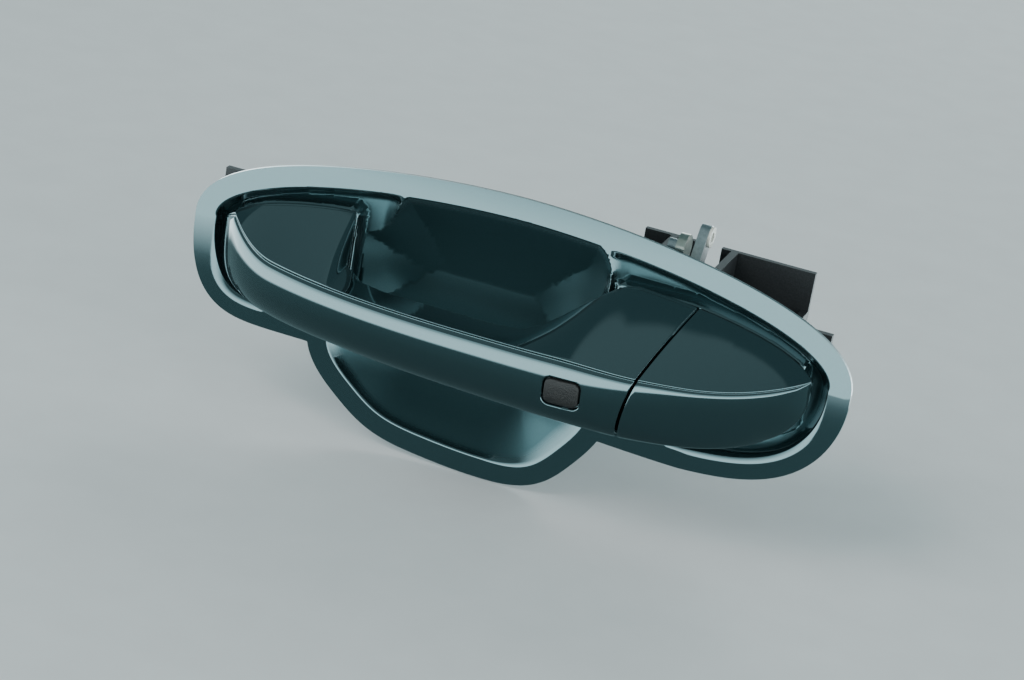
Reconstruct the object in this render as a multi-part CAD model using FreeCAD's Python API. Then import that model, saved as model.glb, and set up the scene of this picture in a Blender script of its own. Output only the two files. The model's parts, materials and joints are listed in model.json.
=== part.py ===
import FreeCAD, Part
import math
import os

# Pull-type car door handle, front left door, with its recess cup and the base frame behind it.
# Frame: +X towards the rear of the car, +Z up, +Y into the door; y = 0 is the door skin at z = 0.
# Origin: middle of the recess outline along X, at the height of the styling crease. Millimetres.

V = FreeCAD.Vector
X_AXIS, Y_AXIS, Z_AXIS = V(1, 0, 0), V(0, 1, 0), V(0, 0, 1)

# ---- driving dimensions -----------------------------------------------------------------------
HALF = 124.0            # half the length of grip plus end cap
SEAT_Y = -2.0           # underside of both feet
STANDOFF = 35.5         # crease in front of the seat, at mid length
GRIP_BACK_Y = -20.0     # face that the fingers pull on
WALL = 2.4              # painted shell thickness
BACK_SHELL_GAP = 2.8       # the back shell ends this far short of the gap's middle, behind the cover
BACK_SHELL = 1.6        # thickness of the separate back shell, so also its parting line
GAP = 1.0               # slot between grip and end cap
GAP_X, GAP_PER_Z, GAP_BEND, GAP_PER_Y = 67.6, 0.304, 0.0014, 0.08   # its slanted face; its bow stays
# under the slot's width over the handle's height, so a convex piece of the grip can't reach the cap

RECESS_HALF = 130.0     # recess outline, half length
FLANGE = 9.0            # painted flange outside the outline
SHEET = 1.6             # recess cup thickness
DISH_Y = 5.0            # floor of the shallow dish around the feet
POCKET_Y = 19.5         # floor of the finger pocket
PAD_Y = -0.2            # top of the two raised foot pads

PIVOT_X, PIVOT_Y = -116.0, 16.0     # grip hinge pin, parallel to Z
PIN_R = 2.5
RUN = 0.05              # radial clearance of every running fit

LEG_X0, LEG_X1 = 45.0, 51.0         # pull leg of the grip
LEG_Z0, LEG_Z1 = -9.0, 3.0
LUG_Y, LUG_TOP_Z = 36.3, 1.0        # front face and top of the leg's catch lug
CRANK_Y, CRANK_Z = 21.3, 22.0       # bell-crank pin, parallel to X
CRANK_X0, CRANK_X1 = 54.0, 66.0
FINGER_R = 24.0         # crank pin to finger roller
FINGER_TIP_R = 2.2
FINGER_ANGLE = 30.3     # finger leans back from straight down, degrees
WEIGHT_ARM = (-5.0, 13.0)           # crash counterweight from the crank pin, (y, z)
EYE_ARM = (10.0, 15.0)  # latch rod eye from the crank pin, (y, z)
ROD_EYE_R = 2.0         # latch rod eye

LOCK_X, LOCK_Z = 90.0, -9.0         # key cylinder, parallel to Y
LOCK_R, PLUG_R = 10.5, 6.6
LOCK_FRONT_Y, LOCK_BACK_Y = -14.5, 47.0
TAIL_R, TAIL_Y = 3.0, 62.0          # round tail that drives the latch lock

BUTTON_X, BUTTON_Z = 36.4, -15.3    # request button in the grip
BUTTON_W, BUTTON_H = 13.8, 10.8
BUTTON_GAP = 0.6
BUTTON_CORNER = 2.6

WEB_Y0, WEB_Y1 = 25.0, 31.0         # base frame beam behind the pocket
REAR_Y = 44.0           # back of the base frame's rear box
SCREW_PLACES = [(-86, 12), (-86, -22), (68, -25), (112, 0)]
BOLT_XS, BOLT_Z, BOLT_R = (-133, 115), 5.0, 3.3     # holes for the door's inner bracket
COVER_SCREWS = [(-84, -13), (56, -12)]


# ---- outline and section formulas --------------------------------------------------------------
def smooth(a, b, x):
    t = min(1.0, max(0.0, (x - a) / (b - a)))
    return t * t * (3 - 2 * t)


def clamp(x, a, b):
    return min(b, max(a, x))


def bulge(x, half, p, q):
    return max(0.0, 1 - abs(x / half) ** p) ** q


def crease_y(x):
    return SEAT_Y - STANDOFF * bulge(x, HALF, 2.6, 0.75)


def seat_top_z(x):
    return 3 + 20.5 * bulge(x, HALF, 3, 0.6)


def bottom_z(x):
    return -3 - (26.6 + 0.032 * clamp(x, -60, 60)) * bulge(x, HALF, 20 if x < 0 else 7, 0.5)


def foot_blend(x):
    """0 along the free grip, 1 over the feet: short turn at the front, long ramp at the rear."""
    if x < 0:
        return 0.75 * smooth(-65.8, -68.4, x) + 0.25 * clamp((-56 - x) / 11, 0, 1) ** 2
    return smooth(10, 52, x)


def top_edge(x):
    w = foot_blend(x)
    dip = 1.8 * smooth(-60, -44, x) * smooth(20, -2, x)
    return GRIP_BACK_Y + (SEAT_Y - GRIP_BACK_Y) * w, seat_top_z(x) * w - dip


def crease_z(x):
    z = -1.4 - 1.35 * smooth(30, 65, x)
    z += 6.5 * max(0.0, (x - 80) / 43) ** 2
    z += 7.0 * max(0.0, (-x - 92) / 21) ** 2.2
    return min(z, seat_top_z(x) - 0.8)


def section(x, inset=0.0):
    """Points of the section at x: top edge, crease, two face poles, bottom, underside corner."""
    yt, zt = top_edge(x)
    yc, zc = crease_y(x), crease_z(x)
    zb = bottom_z(x)
    h = zc - zb
    k = min(1.0, (SEAT_Y - yc) / 12)
    yb = yc + 7.5 * k
    g = smooth(30, 95, x)
    pts = [(yt, zt), (yc, zc), (yc - (2.2 - 1.2 * g) * k, zc - (0.26 - 0.14 * g) * h),
           (yc - (2.6 - 3.7 * g) * k, zb + 0.22 * h), (yb, zb), (yt, zb + 3.0 * k)]
    if inset:
        cy = (min(p[0] for p in pts) + yt) / 2
        cz = (zt + zb) / 2
        fy = 1 - 2 * inset / (yt - min(p[0] for p in pts))
        fz = 1 - 2 * inset / (zt - zb)
        pts = [(cy + (y - cy) * fy, cz + (z - cz) * fz) for y, z in pts]
    return [V(x, y, z) for y, z in pts]


def section_wire(x, inset=0.0):
    t, c, p1, p2, b, i = section(x, inset)
    face = Part.BezierCurve()
    face.setPoles([c, p1, p2, b])
    edges = [Part.LineSegment(t, c).toShape(), face.toShape(),
             Part.LineSegment(b, i).toShape(), Part.LineSegment(i, t).toShape()]
    return Part.Wire(edges)


def stations(x0, x1):
    tips = [123.3, 122.3, 120.5, 118, 114.5, 110, 104, 97, 89, 81]
    middle = [-74, -71, -68.4, -67.7, -67.1, -66.5, -65.8, -63, -59.5, -56, -46, -30, -12, 6, 14, 22, 30, 38, 46, 54, 64, 72]
    xs = [-x for x in tips] + middle + list(reversed(tips))
    return [x0] + [x for x in xs if x0 < x < x1] + [x1]


def handle_body(x0, x1, inset=0.0):
    return Part.makeLoft([section_wire(x, inset) for x in stations(x0, x1)], True, True)


# ---- small solid helpers -----------------------------------------------------------------------
def box(x0, x1, y0, y1, z0, z1):
    return Part.makeBox(x1 - x0, y1 - y0, z1 - z0, V(x0, y0, z0))


def rod(r, length, base, axis):
    return Part.makeCylinder(r, length, base, axis)


def tube(r, bore, length, base, axis):
    return rod(r, length, base, axis).cut(rod(bore, length, base, axis))


def fuse(*shapes):
    out = shapes[0]
    for s in shapes[1:]:
        out = out.fuse(s)
    return out.removeSplitter()


def slab_before_gap(offset):
    """Everything on the grip side of the bowed slot face moved by offset along X."""
    zs = [-60 + 8 * i for i in range(14)]
    pts = [V(GAP_X + offset + GAP_PER_Z * z + GAP_BEND * z * z, 0, z) for z in zs]
    ring = pts + [V(-400, 0, zs[-1]), V(-400, 0, zs[0]), pts[0]]
    slab = Part.Face(Part.makePolygon(ring)).extrude(V(GAP_PER_Y, 1, 0) * 200)
    slab.translate(V(GAP_PER_Y, 1, 0) * -120)
    return slab


def button_prism(grow, y0, y1):
    w, h, r = BUTTON_W / 2 + grow, BUTTON_H / 2 + grow, BUTTON_CORNER + grow
    b = box(BUTTON_X - w, BUTTON_X + w, y0, y1, BUTTON_Z - h, BUTTON_Z + h)
    upright = [e for e in b.Edges if abs(e.tangentAt(e.FirstParameter).y) > 0.99]
    return b.makeFillet(r, upright)


def parting_prism(back):
    """In front of (or behind) the line where the painted cover meets the back shell."""
    pts = [V(x, top_edge(x)[0] - BACK_SHELL, -100) for x in stations(-140, 140)]
    line = Part.makePolygon(pts)
    far = 60 if back else -160
    ends = [pts[-1], V(140, far, -100), V(-140, far, -100), pts[0]]
    face = Part.Face(Part.Wire(line.Edges + Part.makePolygon(ends).Edges))
    return face.extrude(V(0, 0, 200))


def screw(r, length, head_r, head_h, base, axis):
    """Flat-seated screw: base is under the head, axis points from the tip to the head."""
    shank = rod(r, length, base - axis * length, axis)
    head = rod(head_r, head_h, base, axis)
    drive = rod(head_r * 0.45, head_h * 0.6, base + axis * (head_h * 0.5), axis)
    return fuse(shank, head).cut(drive)


# ---- recess cup --------------------------------------------------------------------------------
def outline_points(grow, n=72):
    pts = []
    for i in range(n):
        a = 2 * math.pi * (i + 0.5) / n
        x = RECESS_HALF * math.cos(a)
        if math.sin(a) > 0:
            z = 1 + 32.5 * bulge(x, RECESS_HALF + 0.01, 1.8, 0.5)
        else:
            low = 33.2 + 0.048 * clamp(x, -85, 78)
            z = -3 - low * bulge(x, RECESS_HALF + 0.01, 20 if x < 0 else 7, 0.5)
        pts.append((x, z))
    return offset_points(pts, grow)


POCKET_KNOTS = [(-62, 25), (-35, 28.5), (0, 30), (24, 29), (36, 21), (37.5, -4), (38, -38), (28, -55),
                (17, -65.8), (-2, -69.3), (-29, -67.6), (-50, -62.8), (-62, -54.5), (-74, -41),
                (-72, -8), (-70, 15)]


POCKET_MID_X, POCKET_MID_Z = -17, -20
POCKET_HALF = 50.0       # mean distance from the pocket's middle to its edge


def pocket_points(grow):
    """The pocket's outline: offset when grown, scaled about its middle when shrunk."""
    curve = Part.BSplineCurve()
    curve.interpolate([V(x, 0, z) for x, z in POCKET_KNOTS], PeriodicFlag=True)
    pts = [(p.x, p.z) for p in reversed(curve.discretize(Number=81)[:-1])]
    if grow >= 0:
        return offset_points(pts, grow)
    f = 1 + grow / POCKET_HALF
    return [(POCKET_MID_X + f * (x - POCKET_MID_X), POCKET_MID_Z + f * (z - POCKET_MID_Z)) for x, z in pts]


def offset_points(pts, grow):
    out = []
    n = len(pts)
    for i in range(n):
        ax, az = pts[i - 1]
        bx, bz = pts[(i + 1) % n]
        t = math.hypot(bx - ax, bz - az)
        out.append((pts[i][0] + grow * (bz - az) / t, pts[i][1] - grow * (bx - ax) / t))
    return out


def ring_wire(pts, y):
    vs = [V(x, y, z) for x, z in pts]
    return Part.makePolygon(vs + vs[:1])


def cup(points, profile):
    """Solid through copies of an outline, each grown and set at its own depth."""
    return Part.makeLoft([ring_wire(points(g), y) for g, y in profile], True, True)


def skin_y(z):
    """Door skin: crowned above the body line, flatter below it."""
    return z * z / (900 if z > 0 else 2600)


def skin_slab(front, back):
    zs = [-95, -75, -55, -35, -18, 0, 10, 20, 30, 40, 55]
    a = [V(-160, skin_y(z) + front, z) for z in zs]
    b = [V(-160, skin_y(z) + back, z) for z in reversed(zs)]
    return Part.Face(Part.makePolygon(a + b + a[:1])).extrude(V(320, 0, 0))


def foot_pad(x0, x1):
    inset = 1.0
    xs = [x0 + (x1 - x0) * i / 14 for i in range(15)]
    hi = [(x, min(seat_top_z(x), 21) - inset) for x in xs]
    lo = [(x, bottom_z(x) + inset) for x in reversed(xs)]
    return Part.Face(ring_wire(hi + lo, PAD_Y)).extrude(V(0, 20, 0))


def recess_panel():
    dish = [(0, -8), (0, 0.2), (-1.2, 1.6), (-3, 3.4), (-5.5, DISH_Y)]
    pocket = [(0, -8), (0, 2), (-2.5, 5.5), (-6, 9.5), (-11, 13.5), (-17, 17), (-23, POCKET_Y)]
    pads = fuse(foot_pad(-119, -69), foot_pad(41, 119))
    cavity = cup(outline_points, dish).cut(pads)
    cavity = fuse(cavity, cup(pocket_points, pocket))
    shell = cup(outline_points, [(SHEET, -8), (SHEET, 3), (-3.5, DISH_Y + SHEET)])
    pan = cup(pocket_points, [(SHEET, -8), (SHEET, 4), (-2.5, 7.6), (-6, 11.6), (-11, 15.6), (-17, 19),
                              (-23, POCKET_Y + 2)])
    rim = Part.Face(ring_wire(outline_points(FLANGE), -8)).extrude(V(0, 20, 0))
    lobe = Part.Face(ring_wire(pocket_points(FLANGE), -8)).extrude(V(0, 20, 0))
    flange = fuse(rim, lobe).common(skin_slab(0, SHEET))
    body = fuse(shell, pan).cut(skin_slab(-40, 0))
    panel = fuse(flange, body).cut(cavity)
    panel = panel.cut(box(-121, -100, -9, 9, -7, 5))
    panel = panel.cut(box(LEG_X0 - 2.8, LEG_X1 + 2.8, -9, 9, LEG_Z0 - 1.2, LEG_Z1 + 1.2))
    panel = panel.cut(rod(LOCK_R + 1, 30, V(LOCK_X, -9, LOCK_Z), Y_AXIS))
    panel = panel.cut(box(103.4, 108.1, -9, 9, -13.6, -4.4))
    for x, z in SCREW_PLACES:
        panel = panel.cut(rod(2.1, 6.8, V(x, 1.2, z), Y_AXIS))
    return panel.removeSplitter()


def gasket(x0, x1, inner):
    xs = [x0 + (x1 - x0) * i / 10 for i in range(11)]
    hi = [(x, min(seat_top_z(x), 21) - 2.2) for x in xs]
    lo = [(x, bottom_z(x) + 5.5) for x in reversed(xs)]
    pad = Part.Face(ring_wire(hi + lo, SEAT_Y + 0.3)).extrude(V(0, PAD_Y - SEAT_Y - 0.3, 0))
    for hole in inner:
        pad = pad.cut(hole)
    return pad


# ---- base frame --------------------------------------------------------------------------------
def base_frame():
    web = box(-124, 40, WEB_Y0 + 3, WEB_Y1, -16, 10)
    rails = fuse(box(-124, 40, WEB_Y0, WEB_Y1, 8, 11), box(-124, 40, WEB_Y0, WEB_Y1, -19, -16))
    ribs = [box(x, x + 2.5, WEB_Y0, WEB_Y1, -19, 11) for x in (-94, -66, -38, -10, 18)]
    ears = [box(-124, -98, 8, WEB_Y1, 6, 11), box(-124, -98, 8, WEB_Y1, -13, -8)]
    wall = box(37, 40, WEB_Y0, REAR_Y, -19, 11)
    back = box(37, 108, REAR_Y - 2.5, REAR_Y, -28, 30)
    floor = box(43, 108, 9, REAR_Y, -31, -28)
    end = box(105, 108, 9, REAR_Y, -31, 14)
    crank_ears = [box(48, 51, 14, REAR_Y, 9, 30), box(73, 76, 14, REAR_Y, 6, 30)]
    boss = rod(14, REAR_Y - 9, V(LOCK_X, 9, LOCK_Z), Y_AXIS)
    tabs = [box(-140, -124, WEB_Y1 - 3, WEB_Y1, -2, 12), box(106, 122, WEB_Y1 - 3, WEB_Y1, -2, 12)]
    frame = fuse(web, rails, wall, back, floor, end, boss, *ribs, *ears, *crank_ears, *tabs)
    for x, z in SCREW_PLACES:
        top = WEB_Y1 if x < 40 else REAR_Y
        frame = frame.fuse(rod(5, top - 7.2, V(x, 7.2, z), Y_AXIS))
        if x < 40:
            frame = frame.fuse(box(x - 4, x + 4, WEB_Y0 + 3, WEB_Y1, min(z, -16), max(z, 8)))
    frame = frame.fuse(box(104, 112, 28, REAR_Y, -5, 5))
    for x, z in SCREW_PLACES:
        frame = frame.cut(rod(2.2, 60, V(x, 0, z), Y_AXIS))
    frame = frame.cut(rod(LOCK_R + RUN, 60, V(LOCK_X, 0, LOCK_Z), Y_AXIS))
    frame = frame.cut(rod(PIN_R, 30, V(PIVOT_X, PIVOT_Y, -15), Z_AXIS))
    frame = frame.cut(rod(PIN_R, 40, V(44, CRANK_Y, CRANK_Z), X_AXIS))
    frame = frame.cut(rod(2.0, 30, V(96, 24, LOCK_Z), X_AXIS))
    frame = frame.cut(box(59.5, 69, REAR_Y - 3, REAR_Y + 1, 10, 31))
    for x in BOLT_XS:
        frame = frame.cut(rod(BOLT_R, 20, V(x, 20, BOLT_Z), Y_AXIS))
    return frame.removeSplitter()


# ---- grip --------------------------------------------------------------------------------------
def front_arm():
    plate = box(PIVOT_X, -100.5, -8, PIVOT_Y, -5.5, 3.5)
    hub = rod(6, 9, V(PIVOT_X, PIVOT_Y, -5.5), Z_AXIS)
    return plate.fuse(hub).cut(rod(PIN_R + RUN, 12, V(PIVOT_X, PIVOT_Y, -7), Z_AXIS))


def grip_core(cavity):
    bar = box(-104, 56, -25.6, GRIP_BACK_Y - WALL - 0.2, -20, -6)
    feet = fuse(box(-112, -78, -14, -4.6, -18, 8), box(38, 61, -26, -4.6, -16, 8))
    spine = fuse(bar, feet, box(-104, -88, -24, -10, -18, 4)).common(cavity)
    leg = box(LEG_X0, LEG_X1, -8, LUG_Y + 3, LEG_Z0, LEG_Z1)
    lug = box(LEG_X1, LEG_X1 + 7.5, LUG_Y, LUG_Y + 3, LEG_Z0, LUG_TOP_Z)
    core = fuse(spine, front_arm(), leg, lug)
    core = core.cut(button_prism(1.0, -60, -22)).cut(box(28, 45, -30, -24.4, -22, -8.7))
    for x, z in COVER_SCREWS:
        core = core.cut(rod(1.45, 16, V(x, -19, z), Y_AXIS))
    return core.removeSplitter()


def grip_shells(outer, cavity):
    mouth = cavity.copy()
    mouth.translate(V(0, WALL - BACK_SHELL, 0))
    solid = outer.common(slab_before_gap(-GAP / 2)).cut(cavity)
    cover = solid.cut(parting_prism(True)).cut(button_prism(BUTTON_GAP, -60, -28)).cut(mouth)
    back = solid.cut(parting_prism(False)).common(slab_before_gap(-BACK_SHELL_GAP))
    back = back.cut(box(PIVOT_X, -100.5, -9, 1, -5.5, 3.5))
    back = back.cut(box(LEG_X0, LEG_X1, -9, 1, LEG_Z0, LEG_Z1))
    for x, z in COVER_SCREWS:
        back = back.cut(rod(3.3, 8, V(x, -6, z), Y_AXIS))
    return cover, back


def request_button(outer):
    pad = button_prism(0, -60, -32).common(outer)
    return pad.fuse(rod(2, 1.8, V(BUTTON_X, -32.2, BUTTON_Z), Y_AXIS)).removeSplitter()


def switch_housing():
    body = box(28.5, 44.5, -29, -24.4, -21.5, -9.2)
    return body.cut(rod(3, 1.2, V(BUTTON_X, -29, BUTTON_Z), Y_AXIS))


def antenna(inner_part):
    core = box(-60, -12, -30.5, -27.5, -17, -9)
    wound = box(-52, -20, -31.5, -26.5, -18, -8)
    return core if inner_part else wound.cut(core)


# ---- bell crank and its pin ----------------------------------------------------------------------
def link(x0, x1, y, z, r):
    """Flat arm of width 2r from the crank pin to the point (y, z) away from it."""
    reach = math.hypot(y, z)
    arm = box(x0, x1, 0, reach, -r, r)
    arm.rotate(V(), X_AXIS, math.degrees(math.atan2(z, y)))
    arm = fuse(arm, rod(r, x1 - x0, V(x0, y, z), X_AXIS))
    arm.translate(V(0, CRANK_Y, CRANK_Z))
    return arm


def bell_crank():
    a = math.radians(FINGER_ANGLE)
    finger = link(CRANK_X0, CRANK_X0 + 4, FINGER_R * math.sin(a), -FINGER_R * math.cos(a), FINGER_TIP_R)
    weight_arm = link(CRANK_X0, CRANK_X0 + 4, *WEIGHT_ARM, 3)
    eye_arm = link(CRANK_X1 - 4, CRANK_X1, *EYE_ARM, 4.6)
    hub = rod(5, CRANK_X1 - CRANK_X0, V(CRANK_X0, CRANK_Y, CRANK_Z), X_AXIS)
    crank = fuse(hub, finger, weight_arm, eye_arm)
    crank = crank.cut(rod(PIN_R + RUN, 40, V(44, CRANK_Y, CRANK_Z), X_AXIS))
    eye = V(CRANK_X1 - 6, CRANK_Y + EYE_ARM[0], CRANK_Z + EYE_ARM[1])
    return crank.cut(rod(3, 8, eye, X_AXIS)).removeSplitter()


def crank_weight():
    at = V(CRANK_X0 + 4, CRANK_Y + WEIGHT_ARM[0], CRANK_Z + WEIGHT_ARM[1])
    return rod(6, 3.6, at, X_AXIS)


def rod_bush():
    at = V(CRANK_X1 - 4, CRANK_Y + EYE_ARM[0], CRANK_Z + EYE_ARM[1])
    body = rod(3, 4, at, X_AXIS).fuse(rod(4.2, 1, at + V(4, 0, 0), X_AXIS))
    return body.cut(rod(ROD_EYE_R, 6, at - V(0.5, 0, 0), X_AXIS)).removeSplitter()


def headed_pin(base, axis, length):
    """Pin with a flat head before base and a chamfered far end."""
    pin = rod(PIN_R, length, base, axis).fuse(rod(4.2, 1.5, base - axis * 1.5, axis))
    return pin.removeSplitter()


def return_spring():
    wire_r, coil_r, pitch, turns = 0.6, 4.5, 1.5, 3.1
    helix = Part.makeHelix(pitch, pitch * turns, coil_r)
    ring = Part.Wire(Part.makeCircle(wire_r, V(coil_r, 0, 0), Y_AXIS))
    coil = Part.Wire(helix.Edges).makePipeShell([ring], True, True)
    leg = rod(wire_r, 9, V(coil_r, 0, 0), V(0, -1, 0))
    end_turn = 2 * math.pi * turns
    end = V(coil_r * math.cos(end_turn), coil_r * math.sin(end_turn), pitch * turns)
    tangent = V(-math.sin(end_turn), math.cos(end_turn), 0)
    tail = rod(wire_r, 6, end, tangent)
    spring = fuse(coil, leg, tail)
    spring.rotate(V(), Y_AXIS, 90)
    spring.translate(V(CRANK_X1 + 1.1, CRANK_Y, CRANK_Z))
    return spring


# ---- end cap and key cylinder --------------------------------------------------------------------
def end_cap(outer, inner):
    solid = outer.cut(slab_before_gap(GAP / 2))
    shell = solid.cut(inner.cut(slab_before_gap(GAP / 2 + WALL)))
    shell = shell.cut(rod(LOCK_R + 0.7, 20, V(LOCK_X, LOCK_FRONT_Y - 0.6, LOCK_Z), Y_AXIS))
    return shell.cut(box(*CAP_LEG_X, -9, 1, *CAP_LEG_Z)).removeSplitter()


CAP_LEG_X, CAP_LEG_Z = (104, 107.5), (-13, -5)


def cap_carrier(inner):
    plate = box(78, 112, -8.5, -6, -24, 6).common(inner)
    plate = plate.cut(rod(LOCK_R + 0.7, 9, V(LOCK_X, -12, LOCK_Z), Y_AXIS))
    return plate.fuse(box(*CAP_LEG_X, -7, 7.5, *CAP_LEG_Z)).removeSplitter()


def lock_housing():
    depth = LOCK_BACK_Y - LOCK_FRONT_Y
    body = rod(LOCK_R, depth, V(LOCK_X, LOCK_FRONT_Y, LOCK_Z), Y_AXIS)
    body = body.cut(rod(PLUG_R + RUN, depth + 2, V(LOCK_X, LOCK_FRONT_Y - 1, LOCK_Z), Y_AXIS))
    return body.cut(rod(2, 4, V(98, 24, LOCK_Z), X_AXIS))


def key_plug():
    front = LOCK_FRONT_Y + 0.5
    plug = rod(PLUG_R, LOCK_BACK_Y + 2.5 - front, V(LOCK_X, front, LOCK_Z), Y_AXIS)
    return plug.cut(box(LOCK_X - 0.7, LOCK_X + 0.7, front - 1, front + 22, LOCK_Z - 4, LOCK_Z + 4))


def dust_shutter():
    y = LOCK_FRONT_Y + 1.2
    return box(LOCK_X - 0.7, LOCK_X + 0.7, y, y + 0.8, LOCK_Z - 4, LOCK_Z + 4)


def plug_tail():
    y = LOCK_BACK_Y + 2.5
    return rod(6, 1.5, V(LOCK_X, y, LOCK_Z), Y_AXIS).fuse(
        rod(TAIL_R, TAIL_Y - y, V(LOCK_X, y, LOCK_Z), Y_AXIS)).removeSplitter()


def wire_connector():
    shell = box(-70, -50, WEB_Y1, WEB_Y1 + 10, -9, 5)
    return shell.cut(box(-68.2, -51.8, WEB_Y1 + 2, WEB_Y1 + 11, -7.2, 3.2))


def contact_pins():
    xs = [-65, -60, -55]
    pins = [box(x - 0.5, x + 0.5, WEB_Y1 + 2, WEB_Y1 + 7.5, -2.5, -1.5) for x in xs]
    return Part.makeCompound(pins)


def base_screws():
    screws = []
    for x, z in SCREW_PLACES:
        top = WEB_Y1 if x < 40 else REAR_Y
        screws.append(screw(2.05, top - 2, 4.2, 2.8, V(x, top, z), Y_AXIS))
    return Part.makeCompound(screws)


def main():
    os.makedirs("parts", exist_ok=True)

    def keep(name, shape):
        shape.exportStep("parts/" + name + ".step")

    outer = handle_body(-123.3, 123.3)
    inner = handle_body(-119, 119, WALL)
    cavity = inner.common(slab_before_gap(-GAP / 2 - WALL))

    # fixed to the door
    keep("recess_panel", recess_panel())
    arm_hole = box(-122, -99, -9, 9, -8, 6)
    leg_hole = box(LEG_X0 - 3.5, LEG_X1 + 3.5, -9, 9, LEG_Z0 - 2, LEG_Z1 + 2)
    lock_hole = rod(LOCK_R + 1.5, 30, V(LOCK_X, -9, LOCK_Z), Y_AXIS)
    cap_leg_hole = box(CAP_LEG_X[0] - 0.8, CAP_LEG_X[1] + 0.8, -9, 9, CAP_LEG_Z[0] - 0.8, CAP_LEG_Z[1] + 0.8)
    keep("front_gasket", gasket(-115, -76, [arm_hole]))
    keep("rear_gasket", gasket(42, 114, [leg_hole, lock_hole, cap_leg_hole]))
    keep("base_frame", base_frame())
    keep("base_screws", base_screws())
    keep("pivot_pin", headed_pin(V(PIVOT_X, PIVOT_Y, 11), V(0, 0, -1), 26))
    keep("pivot_pin_clip", tube(4.4, PIN_R, 0.8, V(PIVOT_X, PIVOT_Y, -13.8), Z_AXIS))
    keep("crank_pin", headed_pin(V(48, CRANK_Y, CRANK_Z), X_AXIS, 30))
    keep("crank_pin_clip", tube(4.4, PIN_R, 0.8, V(76, CRANK_Y, CRANK_Z), X_AXIS))
    keep("return_spring", return_spring())
    keep("stop_buffer", box(45, 57, LUG_Y + 3.3, REAR_Y - 2.5, -7, 1))
    keep("lock_housing", lock_housing())
    keep("retaining_screw", screw(1.95, 9.2, 4, 2.6, V(108, 24, LOCK_Z), X_AXIS))
    keep("wire_connector", wire_connector())
    keep("contact_pins", contact_pins())

    # swings with the grip
    cover, back = grip_shells(outer, cavity)
    keep("grip_cover", cover)
    keep("grip_back", back)
    keep("grip_core", grip_core(cavity))
    cover_screws = [screw(1.4, 13, 3, 2, V(x, -4.6, z), Y_AXIS) for x, z in COVER_SCREWS]
    keep("cover_screws", Part.makeCompound(cover_screws))
    keep("switch_housing", switch_housing())
    keep("circuit_board", box(1, 26, -28, -26.4, -20, -8))
    keep("antenna_core", antenna(True))
    keep("antenna_winding", antenna(False))
    keep("request_button", request_button(outer))

    # bell crank
    keep("bell_crank", bell_crank())
    keep("crank_weight", crank_weight())
    keep("rod_bush", rod_bush())

    # end cap and key cylinder
    keep("end_cap", end_cap(outer, inner))
    keep("cap_carrier", cap_carrier(inner))
    keep("key_plug", key_plug())
    keep("dust_shutter", dust_shutter())
    keep("plug_tail", plug_tail())
    keep("tail_circlip", tube(8.4, PLUG_R, 0.8, V(LOCK_X, LOCK_BACK_Y + 0.1, LOCK_Z), Y_AXIS))


main()
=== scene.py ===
"""Pull-type outer car door handle in its recess cup: the looks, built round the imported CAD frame."""
import json
import math

import bpy
import numpy as np
from mathutils import Matrix, Vector
from mathutils.geometry import delaunay_2d_cdt
from mathutils.kdtree import KDTree


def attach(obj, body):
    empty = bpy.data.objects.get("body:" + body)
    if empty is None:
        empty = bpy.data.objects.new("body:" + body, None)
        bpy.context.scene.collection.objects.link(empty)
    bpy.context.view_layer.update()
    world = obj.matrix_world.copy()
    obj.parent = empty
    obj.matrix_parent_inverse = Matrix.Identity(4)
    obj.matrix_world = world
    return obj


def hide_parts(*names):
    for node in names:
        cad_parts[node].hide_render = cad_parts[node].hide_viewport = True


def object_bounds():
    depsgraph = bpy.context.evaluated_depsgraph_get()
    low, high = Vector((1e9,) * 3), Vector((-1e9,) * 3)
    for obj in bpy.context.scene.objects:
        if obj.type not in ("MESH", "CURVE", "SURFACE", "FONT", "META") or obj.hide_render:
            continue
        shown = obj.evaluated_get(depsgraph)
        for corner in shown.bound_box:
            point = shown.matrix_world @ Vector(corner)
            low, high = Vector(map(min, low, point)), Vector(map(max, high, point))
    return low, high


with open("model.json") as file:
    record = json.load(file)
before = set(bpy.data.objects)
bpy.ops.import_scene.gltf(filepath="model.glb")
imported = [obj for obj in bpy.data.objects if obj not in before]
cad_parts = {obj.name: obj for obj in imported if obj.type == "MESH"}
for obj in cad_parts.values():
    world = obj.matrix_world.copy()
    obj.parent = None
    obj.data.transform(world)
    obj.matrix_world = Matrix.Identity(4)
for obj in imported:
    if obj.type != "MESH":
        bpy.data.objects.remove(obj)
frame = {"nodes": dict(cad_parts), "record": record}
box_at_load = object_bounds()

# Sizes below are in millimetres and repeat the ones in the part's source; meshes are made in metres.
MM = 0.001
HALF = 124.0                # half the length of grip plus cap
SEAT_Y = -2.0               # back face of the feet
STANDOFF = 35.5             # how far the crease stands off the feet
GRIP_BACK_Y = -20.0         # back of the grip between its feet
GAP = 1.0                   # between grip and cap
BACK_SHELL = 1.6            # thickness of the grip's back shell at the parting line
GAP_X, GAP_PER_Z, GAP_BEND, GAP_PER_Y = 67.06, 0.3175, 0.0033, 0.08
GAP_S = 62.0                # the section line that follows the gap
RECESS_HALF = 130.0
FLANGE = 8.85
SHEET = 1.6
BUTTON = (36.4, -15.3)      # x, z
BUTTON_SIZE = (13.8, 10.8)
BUTTON_R = 2.6
BUTTON_GAP = 0.6
POCKET_KNOTS = [(-62, 25), (-35, 28.5), (0, 30), (24, 29), (36, 21), (37.5, -4), (38, -38), (28, -55),
                (17, -65.8), (-2, -69.3), (-29, -67.6), (-50, -62.8), (-62, -54.5), (-74, -41), (-72, -8),
                (-70, 15)]


# ---------------------------------------------------------------- shape of the handle
def smooth(a, b, x):
    t = np.clip((x - a) / (b - a), 0, 1)
    return t * t * (3 - 2 * t)


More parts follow.
